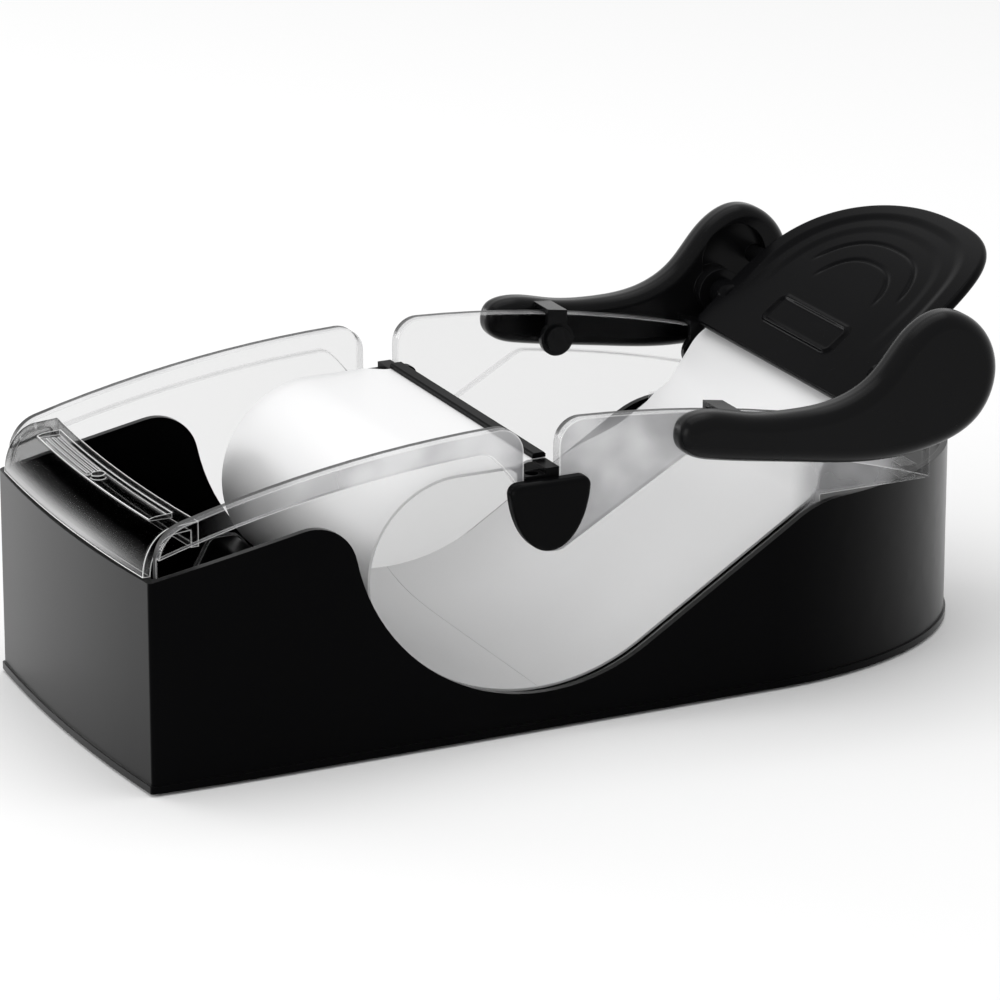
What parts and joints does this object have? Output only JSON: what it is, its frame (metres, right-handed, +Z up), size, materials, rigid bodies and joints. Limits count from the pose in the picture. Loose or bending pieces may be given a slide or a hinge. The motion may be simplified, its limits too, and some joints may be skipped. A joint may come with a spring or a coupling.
{
  "type": "sushi roller",
  "caption": "Table-top sushi roller: black tub with a trough, clear guide frame with curved rails, white rolling foil on a lift-out bar, and a slider with a tilting thumb plate.",
  "frame": {"origin": "on the table, under the middle of the part", "axes": "+X runs from the open front to the handle end, +Y to the right seen from behind the front, +Z up"},
  "size_m": [0.2525, 0.1188, 0.1008],
  "materials": {
    "black_plastic": "satin black moulded plastic",
    "clear_plastic": "clear polished plastic",
    "white_foil": "smooth white flexible sheet",
    "rubber": "dull"
  },
  "bodies": {
    "base": {"base_shell": "black_plastic", "foot_front_left": "rubber", "foot_front_right": "rubber", "foot_rear_left": "rubber", "foot_rear_right": "rubber"},
    "frame": {"guide_wall_left": "clear_plastic", "guide_wall_right": "clear_plastic", "front_bridge": "clear_plastic", "rear_tie": "clear_plastic"},
    "bar": {"foil_bar": "black_plastic", "bar_clamp": "black_plastic", "bar_cap_left": "black_plastic", "bar_cap_right": "black_plastic", "foil": "white_foil"},
    "slider": {"arm_left": "black_plastic", "arm_right": "black_plastic", "guide_stud_front_left": "black_plastic", "guide_stud_front_right": "black_plastic", "guide_stud_rear_left": "black_plastic", "guide_stud_rear_right": "black_plastic", "slider_crossbar": "black_plastic", "foil_clip": "black_plastic"},
    "plate": {"thumb_plate": "black_plastic", "pivot_pin_left": "black_plastic", "pivot_pin_right": "black_plastic"}
  },
  "joints": [
    {"name": "frame_lift", "type": "slide", "parent": "base", "child": "frame", "axis": [0, 0, 1], "range_m": [0, 0.06]},
    {"name": "bar_lift", "type": "slide", "parent": "frame", "child": "bar", "axis": [0, 0, 1], "range_m": [0, 0.03], "deforming": ["foil"]},
    {"name": "slider_travel", "type": "hinge", "parent": "frame", "child": "slider", "pos_m": [-0.02155, 0, -0.2723], "axis": [0, -1, 0], "range_deg": [0, 22], "deforming": ["foil"]},
    {"name": "plate_tilt", "type": "hinge", "parent": "slider", "child": "plate", "pos_m": [0.08145, 0, 0.07459], "axis": [0, -1, 0], "range_deg": [0, 8], "deforming": ["foil"]}
  ]
}
